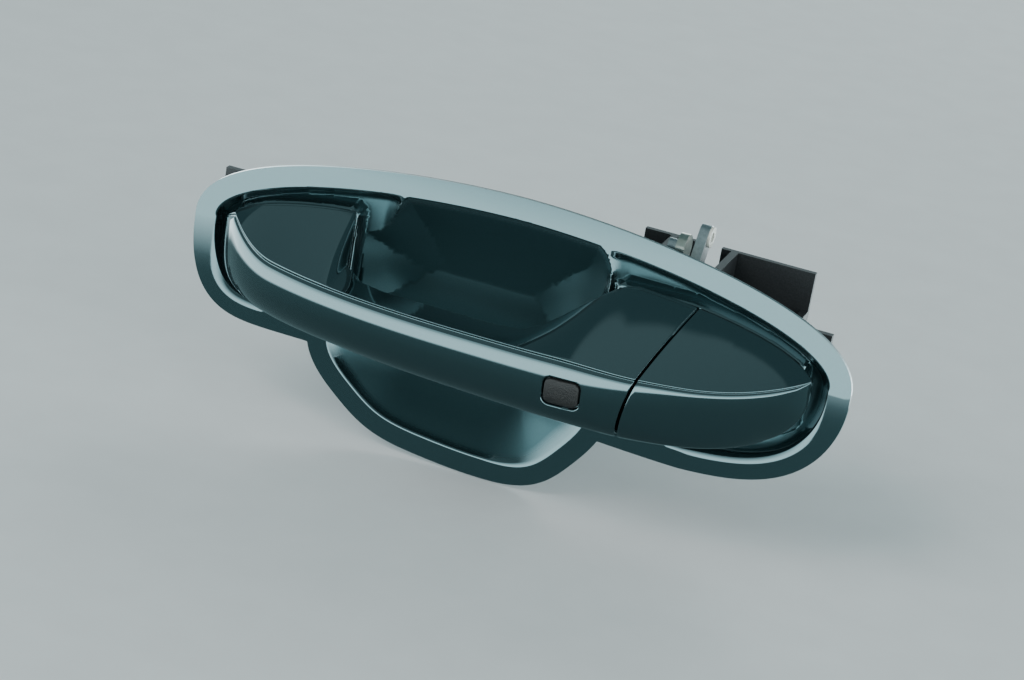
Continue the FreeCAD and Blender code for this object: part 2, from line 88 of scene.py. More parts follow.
def bulge(x, half, p, q):
    return np.maximum(0, 1 - np.abs(x / half) ** p) ** q


def crease_y(x):
    return SEAT_Y - STANDOFF * bulge(x, HALF, 2.6, 0.75)


def seat_top_z(x):
    return 3 + 20.5 * bulge(x, HALF, 3, 0.6)


def bottom_z(x):
    tall = 26.6 + 0.032 * np.clip(x, -60, 60)
    return -3 - tall * np.where(x < 0, bulge(x, HALF, 20, 0.5), bulge(x, HALF, 7, 0.5))


def foot_blend(x):
    front = 0.85 * smooth(-63.5, -69.5, x) + 0.15 * smooth(-55, -64, x)
    return np.where(x < 0, front, smooth(10, 52, x))


def crease_z(x):
    z = (-1.4 - 1.35 * smooth(30, 65, x) + 6.5 * np.maximum(0, (x - 80) / 43) ** 2
         + 7.0 * np.maximum(0, (-x - 92) / 21) ** 2.2)
    return np.minimum(z, seat_top_z(x) - 0.8)


def gap_x(y, z):
    return GAP_X + GAP_PER_Z * z + GAP_BEND * z * z + GAP_PER_Y * y


def corners(x):
    """Corner points of the section at x, each (y, z): T top of the back, C crease, S start of the
    face, P1 and P2 its handles, B foot of the face, I bottom of the back. Then st, the share of the
    crease step that is drawn here."""
    yc, zc, zb, w = crease_y(x), crease_z(x), bottom_z(x), foot_blend(x)
    yt = GRIP_BACK_Y + (SEAT_Y - GRIP_BACK_Y) * w
    yt = np.maximum(yt, np.minimum(SEAT_Y, yc + 0.3))
    zt = seat_top_z(x) * w - 1.8 * smooth(-60, -44, x) * smooth(20, -2, x)
    h = zc - zb
    k = np.minimum(1, (SEAT_Y - yc) / 12)
    g = smooth(30, 95, x)
    st = np.minimum(1, (SEAT_Y - yc) / 6) * (1 - 0.45 * g)
    s_out, s_down = STEP[-1]
    return {"T": (yt, zt), "C": (yc, zc), "S": (yc - s_out * st, zc - s_down * st),
            "P1": (yc - (1.70 - 0.8 * g) * k, zc - (0.26 - 0.14 * g) * h),
            "P2": (yc - (2.10 - 3.25 * g) * k, zb + 0.22 * h),
            "B": (yc + 7.5 * k, zb), "I": (yt, zb + 3 * k), "st": st}


def lerp(a, b, u):
    return a[0] + (b[0] - a[0]) * u, a[1] + (b[1] - a[1]) * u


def round_off(a, corner, b, q):
    """Point at q on the arc-like curve that cuts the corner between a and b."""
    p, r, s = (1 - q) ** 2, 2 * q * (1 - q), q * q
    return p * a[0] + r * corner[0] + s * b[0], p * a[1] + r * corner[1] + s * b[1]


def rounded_profile(points, radii, steps=4):
    """A short open profile with its inner corners rounded, as a list of points."""
    out = [points[0]]
    for i in range(1, len(points) - 1):
        p = np.array(points[i], float)
        a = np.array(points[i - 1], float) - p
        b = np.array(points[i + 1], float) - p
        a = p + a / np.linalg.norm(a) * radii[i - 1]
        b = p + b / np.linalg.norm(b) * radii[i - 1]
        out += [tuple(round_off(a, p, b, q)) for q in np.linspace(0, 1, steps + 1)]
    return out + [points[-1]]


# the styling step under the crease, (outward, down) from the crease: a small wall, then a flank
STEP = rounded_profile([(-0.15, 0.5), (-0.42, 1.3), (0.52, 2.35), (0.86, 3.4)], [0.3, 0.45])

FACET, CREASE, GROOVE, FACE, FOOT, UNDER, UNDER_BACK, HEEL, BACK, BROW, FACET_BACK = range(11)
FACE_END = 0.92


def length(a, b):
    return np.hypot(b[0] - a[0], b[1] - a[1])


def facet(c, u, x):
    """The upper flank, with a slight crown that the feet have more of."""
    t, e = c["T"], c["C"]
    n = length(t, e)
    rise = (0.15 + 0.65 * foot_blend(x)) * 4 * u * (1 - u) * np.minimum(1, n / 30)
    y, z = lerp(t, e, u)
    return y + rise * (e[1] - t[1]) / n, z - rise * (e[0] - t[0]) / n


def face(c, t):
    a, b, d, e = c["S"], c["P1"], c["P2"], c["B"]
    k = [(1 - t) ** 3, 3 * t * (1 - t) ** 2, 3 * t * t * (1 - t), t ** 3]
    return tuple(k[0] * a[i] + k[1] * b[i] + k[2] * d[i] + k[3] * e[i] for i in (0, 1))


def surface(kind, v, x):
    """(y, z) of one family of rows at x. v runs 0 to 1 along the family."""
    c = corners(x)
    n = length(c["T"], c["C"])
    # where along the facet the parting line lies
    part = np.minimum(0.42, BACK_SHELL / np.maximum(0.05, c["T"][0] - c["C"][0]))
    neck = smooth(-78, -68, x) * smooth(-50, -60, x)       # softer corners where the foot meets the grip
    brow = np.minimum(0.8 * part, (1.4 + 1.6 * neck) / n)
    edge = 1 - np.minimum(0.3, 0.5 / n)
    under = 1 - np.minimum(0.4, BACK_SHELL / np.maximum(0.05, c["I"][0] - c["B"][0]))
    heel = 1 - (1 - under) * 0.75
    if kind == FACET:
        return facet(c, part + (edge - part) * v, x)
    if kind == FACET_BACK:
        return facet(c, brow + (part - brow) * v, x)
    if kind == CREASE:
        a = facet(c, edge, x)
        b = (c["C"][0] - STEP[0][0] * c["st"], c["C"][1] - STEP[0][1] * c["st"])
        return round_off(a, c["C"], b, v)
    if kind == GROOVE:
        out = np.interp(v, np.linspace(0, 1, len(STEP)), [p[0] for p in STEP])
        down = np.interp(v, np.linspace(0, 1, len(STEP)), [p[1] for p in STEP])
        return c["C"][0] - out * c["st"], c["C"][1] - down * c["st"]
    if kind == FACE:
        return face(c, v * FACE_END)
    if kind == FOOT:
        return round_off(face(c, FACE_END), c["B"], lerp(c["B"], c["I"], 0.3), v)
    if kind == UNDER:
        return lerp(c["B"], c["I"], 0.3 + (under - 0.3) * v)
    if kind == UNDER_BACK:
        return lerp(c["B"], c["I"], under + (heel - under) * v)
    r = np.minimum(1.2 + 2.0 * neck, 0.25 * length(c["I"], c["T"]))
    low = (c["I"][0], c["I"][1] + r)
    high = (c["T"][0], c["T"][1] - r)
    if kind == HEEL:
        return round_off(lerp(c["B"], c["I"], heel), c["I"], low, v)
    if kind == BACK:
        return lerp(low, high, v)
    return round_off(high, c["T"], facet(c, brow, x), v)


def family(kind, values):
    return [(kind, v) for v in values]


COVER_ROWS = (family(FACET, [0, 0.006, 0.03] + list(np.linspace(0.08, 0.95, 14)) + [0.985, 1])
              + family(CREASE, [0.25, 0.5, 0.75]) + family(GROOVE, np.linspace(0, 1, len(STEP)))
              + family(FACE, [0.006, 0.02] + list(np.linspace(0.04, 1, 76)))
              + family(FOOT, [0.2, 0.4, 0.6, 0.8, 1]) + family(UNDER, [0.15, 0.4, 0.7, 0.96, 1]))
BACK_ROWS = (family(UNDER_BACK, [0, 0.2, 0.95, 1]) + family(HEEL, [0.25, 0.5, 0.75, 1])
             + family(BACK, [0.02, 0.25, 0.5, 0.75, 0.98, 1]) + family(BROW, [0.2, 0.4, 0.6, 0.8, 1])
             + family(FACET_BACK, [0.1, 0.8, 1]))


LEAN_PASSES = 12            # x depends on y and z and they on x, so it is settled by repeating


def skin_grid(rows, s, side, ramp):
    """Points (rows, columns, 3) for section lines s. Near the gap the lines lean until they lie on it."""
    s = np.asarray(s, float)
    w = ramp(s)
    x = np.tile(s, (len(rows), 1))
    y, z = np.zeros_like(x), np.zeros_like(x)
    kinds = sorted({k for k, _ in rows})
    for _ in range(LEAN_PASSES):
        for kind in kinds:
            idx = [i for i, (k, _) in enumerate(rows) if k == kind]
            v = np.array([rows[i][1] for i in idx])[:, None]
            y[idx], z[idx] = surface(kind, v, x[idx])
        x = s + w * (gap_x(y, z) + side - GAP_S)
    return np.stack([x, y, z], axis=2)


def section_normals(grid):
    """Outward normals in the section plane, from neighbouring rows."""
    d = np.gradient(grid[:, :, 1:], axis=0)
    n = np.stack([-d[:, :, 1], d[:, :, 0]], axis=2)
    n /= np.maximum(1e-9, np.linalg.norm(n, axis=2))[:, :, None]
    return -n


EDGE_R = 0.45               # rounding of the edges at the gap


def end_columns(grid, column, sign, centre):
    """Columns that round the edge over at the gap, turn inward and run back along the wall's inside."""
    base = grid[:, column]
    n = section_normals(grid)[:, column]
    out = []
    for a in (0.25, 0.5, 0.75, 1.0):
        a *= math.pi / 2
        p = base.copy()
        p[:, 0] += sign * EDGE_R * math.sin(a)
        p[:, 1:] -= n * EDGE_R * (1 - math.cos(a))
        out.append(p)
    inward = centre - base[:, 1:]
    inward /= np.linalg.norm(inward, axis=1)[:, None]
    for depth, back in ((0.9, 0.0), (2.2, 0.0), (2.4, 0.2), (2.4, 7.0)):
        p = base.copy()
        p[:, 0] += sign * (EDGE_R - back)
        p[:, 1:] += inward * depth
        out.append(p)
    return np.stack(out, axis=1)


def with_lips(grid):
    """Adds rows at both ends that turn in, so a shell shows a rounded edge and some thickness."""
    n = section_normals(grid)
    rows = [grid]
    for at, first in ((0, True), (-1, False)):
        edge = grid[at]
        inward = centre_line(edge) - edge[:, 1:]
        size = np.linalg.norm(inward, axis=1)[:, None]
        inward = inward / np.maximum(size, 1e-6)
        lips = []
        for depth in (0.14, 1.5):
            p = edge.copy()
            p[:, 1:] += inward * np.minimum(depth, 0.45 * size)
            lips.append(p[None])
        rows = lips[::-1] + rows if first else rows + lips
    return np.concatenate(rows, axis=0)


def mesh_object(name, verts, faces, material):
    mesh = bpy.data.meshes.new(name)
    mesh.from_pydata((np.asarray(verts) * MM).tolist(), [], faces)
    mesh.validate()
    mesh.polygons.foreach_set("use_smooth", [True] * len(mesh.polygons))
    mesh.materials.append(material)
    mesh.update()
    obj = bpy.data.objects.new(name, mesh)
    bpy.context.scene.collection.objects.link(obj)
    return obj


def grid_faces(rows, columns, closed=False):
    """Quads of a grid of points, wound so that they face outward."""
    out = []
    for r in range(rows if closed else rows - 1):
        r2 = (r + 1) % rows
        for c in range(columns - 1):
            out.append([r * columns + c + 1, r2 * columns + c + 1, r2 * columns + c, r * columns + c])
    return out


def joined(*runs):
    """Runs (start, stop, step) as one ascending list."""
    out = []
    for start, stop, step in runs:
        n = max(1, round((stop - start) / step))
        out += list(start + (stop - start) * np.arange(n) / n)
    return out + [runs[-1][1]]


def tip(inner, outer, n):
    """Values from inner to outer that crowd towards outer."""
    return [inner + (outer - inner) * math.sin(math.pi / 2 * i / n) for i in range(n)] + [outer]


# ---------------------------------------------------------------- the request button's well
def button_sd(x, z, grow=0.0):
    """Distance outside the button's rounded outline, grown by grow; negative inside it."""
    r = BUTTON_R + grow
    qx = np.abs(x - BUTTON[0]) - (BUTTON_SIZE[0] / 2 + grow - r)
    qz = np.abs(z - BUTTON[1]) - (BUTTON_SIZE[1] / 2 + grow - r)
    return np.hypot(np.maximum(qx, 0), np.maximum(qz, 0)) + np.minimum(np.maximum(qx, qz), 0) - r


def sink_well(grid, rows, step=0.3, lip=0.42, depth=2.6):
    """Presses the button's hole into the face: points near its rim are moved onto it first."""
    on_face = np.array([k == FACE for k, _ in rows])[:, None]
    x, z = grid[:, :, 0], grid[:, :, 2]
    near = on_face & (np.abs(x - BUTTON[0]) < BUTTON_SIZE[0]) & (np.abs(z - BUTTON[1]) < BUTTON_SIZE[1])
    e = 0.01
    sd = button_sd(x, z, BUTTON_GAP)
    gx = (button_sd(x + e, z, BUTTON_GAP) - button_sd(x - e, z, BUTTON_GAP)) / (2 * e)
    gz = (button_sd(x, z + e, BUTTON_GAP) - button_sd(x, z - e, BUTTON_GAP)) / (2 * e)
    target = np.where((sd >= 0) & (sd < step), 0.0, sd)
    target = np.where((sd < 0) & (sd > -step), -0.03, target)
    target = np.where((sd >= step) & (sd < 1.6), sd, target)
    move = np.where(near, target - sd, 0)
    dr = np.gradient(grid, axis=0)
    dc = np.gradient(grid, axis=1)
    n = np.cross(dr, dc)
    dx, dz = gx * move, gz * move
    grid[:, :, 0] += dx
    grid[:, :, 2] += dz
    ny = np.where(np.abs(n[:, :, 1]) < 1e-9, 1, n[:, :, 1])
    grid[:, :, 1] -= np.where(near, (n[:, :, 0] * dx + n[:, :, 2] * dz) / ny, 0)
    sd = target
    fillet = lip - np.sqrt(np.maximum(0, lip ** 2 - np.clip(lip - sd, 0, lip) ** 2))
    drop = np.where(sd >= 0, fillet, depth)
    grid[:, :, 1] += np.where(near & (sd < lip), drop, 0)
    return grid


def face_y(x, z):
    """y of the handle's face at single points x, z."""
    t = np.linspace(0, 1, 160)
    out = np.empty(len(x))
    for i, (a, b) in enumerate(zip(x, z)):
        y, zz = face(corners(np.full(160, a)), t)
        out[i] = np.interp(-b, -zz, y)
    return out


# ---------------------------------------------------------------- materials
def node_material(name):
    mat = bpy.data.materials.new(name)
    mat.use_nodes = True
    nodes, links = mat.node_tree.nodes, mat.node_tree.links
    return mat, nodes, links, nodes["Principled BSDF"]


def noise(nodes, links, scale, detail=2.0, rough=0.5):
    coord = nodes.new("ShaderNodeTexCoord")
    tex = nodes.new("ShaderNodeTexNoise")
    tex.inputs["Scale"].default_value = scale
    tex.inputs["Detail"].default_value = detail
    tex.inputs["Roughness"].default_value = rough
    links.new(coord.outputs["Object"], tex.inputs["Vector"])
    return tex


def ramp_node(nodes, links, source, stops):
    node = nodes.new("ShaderNodeValToRGB")
    while len(node.color_ramp.elements) < len(stops):
        node.color_ramp.elements.new(0.5)
    for element, (at, colour) in zip(node.color_ramp.elements, stops):
        element.position = at
        element.color = (*colour, 1)
    links.new(source, node.inputs["Fac"])
    return node.outputs["Color"]


def range_node(nodes, links, source, low, high, a=0.0, b=1.0):
    node = nodes.new("ShaderNodeMapRange")
    node.inputs["From Min"].default_value = a
    node.inputs["From Max"].default_value = b
    node.inputs["To Min"].default_value = low
    node.inputs["To Max"].default_value = high
    links.new(source, node.inputs["Value"])
    return node.outputs["Result"]


def bump(nodes, links, shader, source, strength, distance):
    node = nodes.new("ShaderNodeBump")
    node.inputs["Strength"].default_value = strength
    node.inputs["Distance"].default_value = distance
    links.new(source, node.inputs["Height"])
    links.new(node.outputs["Normal"], shader.inputs["Normal"])


def paint_material():
    mat, nodes, links, bsdf = node_material("body_paint")
    flake = noise(nodes, links, 5200.0, 1.0)
    colour = ramp_node(nodes, links, flake.outputs["Fac"],
                       [(0.34, (0.043, 0.084, 0.092)), (0.66, (0.058, 0.106, 0.115))])
    links.new(colour, bsdf.inputs["Base Color"])
    drift = noise(nodes, links, 18.0, 3.0)
    links.new(range_node(nodes, links, drift.outputs["Fac"], 0.055, 0.08), bsdf.inputs["Roughness"])
    bsdf.inputs["Metallic"].default_value = 0.92
    bsdf.inputs["Coat Weight"].default_value = 1.0
    bsdf.inputs["Coat Roughness"].default_value = 0.012
    bsdf.inputs["Coat IOR"].default_value = 1.6
    return mat


CUP_FADE = (0.0020, 0.0044)             # depths in metres between which the cup's gloss fades


def cup_paint_material():
    """The body paint on the cup: glossy on the rim, duller further in to keep its reflections soft."""
    mat, nodes, links, bsdf = node_material("body_paint_cup")
    coord = nodes.new("ShaderNodeTexCoord")
    split = nodes.new("ShaderNodeSeparateXYZ")
    links.new(coord.outputs["Object"], split.inputs[0])
    inside = range_node(nodes, links, split.outputs["Y"], 0.0, 1.0, *CUP_FADE)
    flake = noise(nodes, links, 5200.0, 1.0)
    colour = ramp_node(nodes, links, flake.outputs["Fac"],
                       [(0.34, (0.041, 0.081, 0.089)), (0.66, (0.055, 0.102, 0.111))])
    links.new(colour, bsdf.inputs["Base Color"])
    links.new(range_node(nodes, links, inside, 0.065, 0.42), bsdf.inputs["Roughness"])
    links.new(range_node(nodes, links, inside, 1.0, 0.0), bsdf.inputs["Coat Weight"])
    bsdf.inputs["Metallic"].default_value = 0.9
    bsdf.inputs["Coat Roughness"].default_value = 0.02
    bsdf.inputs["Coat IOR"].default_value = 1.6
    return mat


def grained_material(name, dark, light, scale, rough, grain, distance, metallic=0.0, stretch=None):
    """A material whose colour, roughness and relief come from one noise; stretch makes it brushed."""
    mat, nodes, links, bsdf = node_material(name)
    tex = noise(nodes, links, scale, 3.0)
    if stretch:
        mapping = nodes.new("ShaderNodeMapping")
        mapping.inputs["Scale"].default_value = stretch
        source = tex.inputs["Vector"].links[0].from_socket
        links.new(source, mapping.inputs["Vector"])
        links.new(mapping.outputs["Vector"], tex.inputs["Vector"])
    fac = tex.outputs["Fac"]
    links.new(ramp_node(nodes, links, fac, [(0.3, dark), (0.7, light)]), bsdf.inputs["Base Color"])
    links.new(range_node(nodes, links, fac, rough - 0.06, rough + 0.06), bsdf.inputs["Roughness"])
    bsdf.inputs["Metallic"].default_value = metallic
    bump(nodes, links, bsdf, fac, grain, distance)
    return mat


# name: dark and light colour, noise scale, roughness, relief strength and height (m), metallic, stretch
GRAINED = {
    "gasket_rubber": ((0.010, 0.010, 0.011), (0.022, 0.022, 0.023), 900, 0.62, 0.4, 0.0001),
    "button_rubber": ((0.003, 0.0026, 0.0026), (0.020, 0.017, 0.016), 1700, 0.55, 0.9, 0.00022),
    "black_nylon": ((0.014, 0.015, 0.016), (0.030, 0.031, 0.033), 1400, 0.48, 0.35, 0.00008),
    "white_nylon": ((0.62, 0.60, 0.53), (0.72, 0.70, 0.64), 700, 0.42, 0.15, 0.00005),
    "zinc_steel": ((0.50, 0.47, 0.40), (0.66, 0.64, 0.58), 420, 0.30, 0.15, 0.00003, 1.0),
    "spring_steel": ((0.28, 0.29, 0.31), (0.42, 0.43, 0.45), 900, 0.27, 0.2, 0.00003, 1.0, (1, 1, 8)),
    "die_cast_zinc": ((0.40, 0.41, 0.42), (0.54, 0.55, 0.56), 650, 0.42, 0.35, 0.00008, 1.0),
    "lock_brass": ((0.62, 0.45, 0.20), (0.76, 0.60, 0.31), 500, 0.26, 0.2, 0.00003, 1.0, (1, 6, 1)),
    "copper_wire": ((0.48, 0.19, 0.07), (0.68, 0.32, 0.14), 300, 0.3, 0.7, 0.00015, 1.0, (7, 1, 1)),
    "ferrite": ((0.045, 0.045, 0.05), (0.085, 0.085, 0.09), 1200, 0.5, 0.4, 0.00005),
    "board_laminate": ((0.012, 0.10, 0.045), (0.03, 0.18, 0.085), 600, 0.35, 0.3, 0.00003),
}


def materials():
    mats = {"body_paint": paint_material()}
    for name, values in GRAINED.items():
        mats[name] = grained_material(name, *values)
    return mats


MATS = materials()


# ---------------------------------------------------------------- grip, cap and button
def ramp_grip(s):
    return smooth(20, GAP_S, s)


def ramp_cap(s):
    return 1 - smooth(GAP_S, 110, s)


def centre_line(edge):
    """Middle of the section at each of the edge's points, (y, z)."""
    c = corners(edge[:, 0])
    return np.stack([(c["T"][0] + c["C"][0] + c["B"][0]) / 3, (c["T"][1] + c["B"][1]) / 2], axis=1)


def grip_shell(name, rows, well=False):
    """One of the grip's two shells, which end at the gap in a rounded, turned-in edge."""
    grid = skin_grid(rows, GRIP_S, -GAP_SIDE, ramp_grip)
    if well:
        grid = sink_well(grid, rows)
    ends = end_columns(grid, -1, 1, centre_line(grid[:, -1]))
    grid = with_lips(np.concatenate([grid, ends], axis=1))
    obj = mesh_object(name, grid.reshape(-1, 3), grid_faces(*grid.shape[:2]), MATS["body_paint"])
    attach(obj, "grip")
    return obj


# section lines along grip and cap, closest at the tips, the neck and the button
TIP_X = HALF - 0.02         # just short of the point, where a section would shrink to nothing
TIP_LINES = 34
GRIP_S = [-v for v in tip(114.6, TIP_X, TIP_LINES)][::-1][:-1] + joined(
    (-114.6, -96, 0.4), (-96, -72, 0.8), (-72, -64, 0.2), (-64, -52, 0.6), (-52, 26, 1.2), (26, 47, 0.3),
    (47, GAP_S, 0.8))
CAP_S = joined((GAP_S, 104, 0.8), (104, 114, 0.5))[:-1] + tip(114, TIP_X, TIP_LINES)
GAP_SIDE = GAP / 2 + EDGE_R             # from the gap's middle to where the edge's rounding begins

grip_cover = grip_shell("grip_cover_skin", COVER_ROWS, well=True)
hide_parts("grip_cover")
grip_back = grip_shell("grip_back_skin", BACK_ROWS)
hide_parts("grip_back")


def cap_shell():
    """The end cap is one moulding, so its section closes on itself."""
    rows = COVER_ROWS + BACK_ROWS[1:-1]
    grid = skin_grid(rows, CAP_S, GAP_SIDE, ramp_cap)
    n = len(rows)
    closed = np.concatenate([grid[-1:], grid, grid[:1]], axis=0)
    ends = end_columns(closed, 0, -1, centre_line(closed[:, 0]))[1:-1]
    grid = np.concatenate([ends[:, ::-1], grid], axis=1)
    columns = grid.shape[1]
    obj = mesh_object("end_cap_skin", grid.reshape(-1, 3), grid_faces(n, columns, closed=True),
                      MATS["body_paint"])
    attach(obj, "cap")
    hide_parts("end_cap")
    return obj


cap_shell()


PAD_SUNK = 0.12             # how far the pad's top lies below the handle's face
PAD_CROWN = 0.14            # how far its middle rises above its top
# rings of the pad from its skirt to its crown: (in from the outline, down from the top)
PAD_EDGE = [(0.0, 3.2), (0.0, 0.75), (0.06, 0.42), (0.22, 0.18), (0.45, 0.05), (0.8, 0.0), (1.6, -0.06),
            (2.5, -0.12)]


def button_pad():
    """Rubber pad in the well: rings of a rounded rectangle, crowned, with a rolled edge."""
    ring = 96
    hx, hz = BUTTON_SIZE[0] / 2, BUTTON_SIZE[1] / 2
    # equal steps along the outline rather than equal angles
    dense = []
    for cx, cz, start in ((1, 1, 0), (-1, 1, 90), (-1, -1, 180), (1, -1, 270)):
        for i in range(13):
            t = math.radians(start + 90 * i / 12)
            dense.append((cx * (hx - BUTTON_R), cz * (hz - BUTTON_R), math.cos(t), math.sin(t)))
    dense = np.array(dense)
    loop = np.concatenate([dense, dense[:1]])
    at = loop[:, :2] + loop[:, 2:] * BUTTON_R
    along = np.concatenate([[0], np.cumsum(np.linalg.norm(np.diff(at, axis=0), axis=1))])
    want = np.linspace(0, along[-1], ring, endpoint=False)
    part = np.stack([np.interp(want, along, loop[:, i]) for i in range(4)], axis=1)
    verts = []
    for inset, drop in PAD_EDGE:
        r = BUTTON_R - inset
        x = BUTTON[0] + part[:, 0] + part[:, 2] * r
        z = BUTTON[1] + part[:, 1] + part[:, 3] * r
        verts.append(np.stack([x, face_y(x, z) + PAD_SUNK + drop, z], axis=1))
    for shrink in (0.75, 0.5, 0.25):
        x = BUTTON[0] + (part[:, 0] + part[:, 2] * 0.1) * shrink
        z = BUTTON[1] + (part[:, 1] + part[:, 3] * 0.1) * shrink
        verts.append(np.stack([x, face_y(x, z) + PAD_SUNK - PAD_CROWN, z], axis=1))
    rings = len(verts)
    faces = []
    for r in range(rings - 1):
        for i in range(ring):
            j = (i + 1) % ring
            faces.append([r * ring + i, r * ring + j, (r + 1) * ring + j, (r + 1) * ring + i])
    faces.append([(rings - 1) * ring + i for i in range(ring)])
    obj = mesh_object("request_button_pad", np.concatenate(verts), faces, MATS["button_rubber"])
    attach(obj, "button")
    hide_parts("request_button")
    return obj


button_pad()


# ---------------------------------------------------------------- the recess cup
OUTLINE_STEP = 0.6


def resample(points, step):
    """Points at equal steps along a closed outline."""
    p = np.array(points, float)
    p = np.concatenate([p, p[:1]])
    along = np.concatenate([[0], np.cumsum(np.linalg.norm(np.diff(p, axis=0), axis=1))])
    n = int(round(along[-1] / step))
    want = np.arange(n) * along[-1] / n
    return np.stack([np.interp(want, along, p[:, i]) for i in (0, 1)], axis=1)


def dish_outline():
    a = np.linspace(0, math.pi, 2000)
    x = RECESS_HALF * np.cos(a)
    top = 1 + 32.5 * bulge(x, RECESS_HALF, 1.8, 0.5)
    x2 = x[::-1]
    tall = 33.2 + 0.048 * np.clip(x2, -85, 78)
    low = -3 - tall * np.where(x2 < 0, bulge(x2, RECESS_HALF, 20, 0.5), bulge(x2, RECESS_HALF, 7, 0.5))
    return resample(list(zip(x, top)) + list(zip(x2, low)), OUTLINE_STEP)


def spline_outline(knots):
    """Closed smooth curve through the knots."""
    k = np.array(knots, float)
    n = len(k)
    size = np.linalg.norm(np.roll(k, -1, axis=0) - k, axis=1)
    t = np.concatenate([[0], np.cumsum(size)])
    # periodic cubic: solve for second derivatives
    h = size
    a = np.zeros((n, n))
    rhs = np.zeros((n, 2))
    for i in range(n):
        a[i, i - 1] += h[i - 1] / 6
        a[i, i] += (h[i - 1] + h[i]) / 3
        a[i, (i + 1) % n] += h[i] / 6
        rhs[i] = (k[(i + 1) % n] - k[i]) / h[i] - (k[i] - k[i - 1]) / h[i - 1]
    m = np.linalg.solve(a, rhs)
    out = []
    for i in range(n):
        j = (i + 1) % n
        for u in np.linspace(0, 1, 60, endpoint=False):
            v = 1 - u
            out.append(v * k[i] + u * k[j] + ((v ** 3 - v) * m[i] + (u ** 3 - u) * m[j]) * h[i] ** 2 / 6)
    return resample(out, OUTLINE_STEP)


PAD_INSET = 2.5             # the pads' outlines are drawn this far in and grown back, which rounds them


def pad_outline(x0, x1):
    x = np.linspace(x0 + PAD_INSET, x1 - PAD_INSET, 160)
    top = np.minimum(seat_top_z(x), 21) - 1 - PAD_INSET
    low = bottom_z(x) + 1 + PAD_INSET
    return resample(list(zip(x, low)) + list(zip(x[::-1], top[::-1])), OUTLINE_STEP)


def signed(poly, p, grow=0.0):
    """Distance inside the closed outline (positive inside) of points p."""
    out = np.empty(len(p))
    a = poly
    b = np.roll(poly, -1, axis=0)
    seg = b - a
    seg2 = (seg ** 2).sum(1)
    for i in range(0, len(p), 4000):
        q = p[i:i + 4000]
        near = ((q[:, None] - a[None]) ** 2).sum(2).argmin(1)
        best = np.full(len(q), 1e9)
        for k in (-1, 0):
            j = (near + k) % len(a)
            t = np.clip(((q - a[j]) * seg[j]).sum(1) / seg2[j], 0, 1)
            best = np.minimum(best, np.linalg.norm(q - a[j] - seg[j] * t[:, None], axis=1))
        up = (a[None, :, 1] > q[:, None, 1]) != (b[None, :, 1] > q[:, None, 1])
        rise = np.where(np.abs(seg[:, 1]) < 1e-12, 1e-12, seg[:, 1])
        cross = a[None, :, 0] + (q[:, None, 1] - a[None, :, 1]) / rise[None] * seg[None, :, 0]
        inside = (up & (q[:, None, 0] < cross)).sum(1) % 2 == 1
        out[i:i + 4000] = np.where(inside, best, -best)
    return out + grow


def wall(d, depth, degrees, r_top, r_low):
    """Depth at distance d past a rim: a rounded shoulder, a sloping wall and a rounded foot."""
    a = np.radians(degrees)
    half = np.tan(a / 2)
    a1, a2, run = r_top * half, r_low * half, depth / np.tan(a)
    shoulder = r_top - np.sqrt(np.maximum(0, r_top ** 2 - np.clip(d + a1, 0, r_top) ** 2))
    y = np.where(d < -a1 + r_top * np.sin(a), shoulder, d * np.tan(a))
    low = depth - (r_low - np.sqrt(np.maximum(0, r_low ** 2 - np.clip(run + a2 - d, 0, r_low) ** 2)))
    y = np.where(d > run + a2 - r_low * np.sin(a), low, y)
    y = np.where(d > run + a2, depth, y)
    return np.where(d < -a1, 0, y)


DISH = dish_outline()
POCKET = spline_outline(POCKET_KNOTS)
# the same pocket with its top edge raised past the cup's rim, where it opens into it
POCKET_RAISED = spline_outline([(-62, 19), (-51, 29.5), (-35, 35), (0, 37), (22, 36), (36, 27.5)]
                               + POCKET_KNOTS[5:])
PADS = [pad_outline(-119, -69), pad_outline(41, 119)]
PAD_Y = -0.2                # front of the raised pads behind the feet's gaskets
POCKET_FLOOR = 19.4
DEEPEST = 21.0              # nothing in the cup goes deeper


def blend_max(a, b, k):
    """The larger of a and b, rounded over where they are within about k of each other."""
    return 0.5 * (a + b + np.sqrt((a - b) ** 2 + k * k) - k * np.exp(-np.abs(a - b)))


def recess_depth(p):
    """y of the cup's front surface at points p (x, z)."""
    x, z = p[:, 0], p[:, 1]
    skin = z * z / np.where(z > 0, 900, 2600) + 0.022 * np.maximum(z, 0)
    d1 = signed(DISH, p)
    d2 = signed(POCKET, p)
    low = smooth(-4, -26, z)
    ends = smooth(62, 88, x) + smooth(-92, -112, x)
    # upper middle, where the pocket starts at the rim
    open_top = smooth(-60, -50, x) * smooth(44, 34, x) * smooth(-8, 8, z)
    dish = wall(d1, 4.9, 58 - 10 * ends, 1.2 + 4.0 * low * ends, 2.2 + 2.6 * ends) * (1 - open_top)
    lobe = smooth(-32, -50, z)                        # the lobe below the handle
    ramp = lobe * smooth(-8, 24, x)
    d2 = np.where(z > -20, np.minimum(d1, signed(POCKET_RAISED, p)), d2)
    slope = 38 + 6 * lobe - 16 * ramp
    pocket = wall(d2, POCKET_FLOOR, slope, 1.3 + 4.0 * ramp, 12.0 + 40 * smooth(-25, 5, z))
    k = 1.2 * smooth(0.6, 4, np.minimum(dish, pocket))
    deep = np.where(k > 1e-6, blend_max(dish, pocket, k), np.maximum(dish, pocket))
    y = skin * (1 - smooth(0, 19, deep)) + deep
    for pad in PADS:
        d3 = signed(pad, p, PAD_INSET)
        top = PAD_Y + wall(-d3, 26, 66, 0.9, 1.0)
        k = 0.9 * smooth(0.5, 3, np.minimum(y, top))
        y = np.where(k > 1e-6, -blend_max(-y, -top, k), np.minimum(y, np.maximum(top, PAD_Y)))
    return np.minimum(y, DEEPEST)


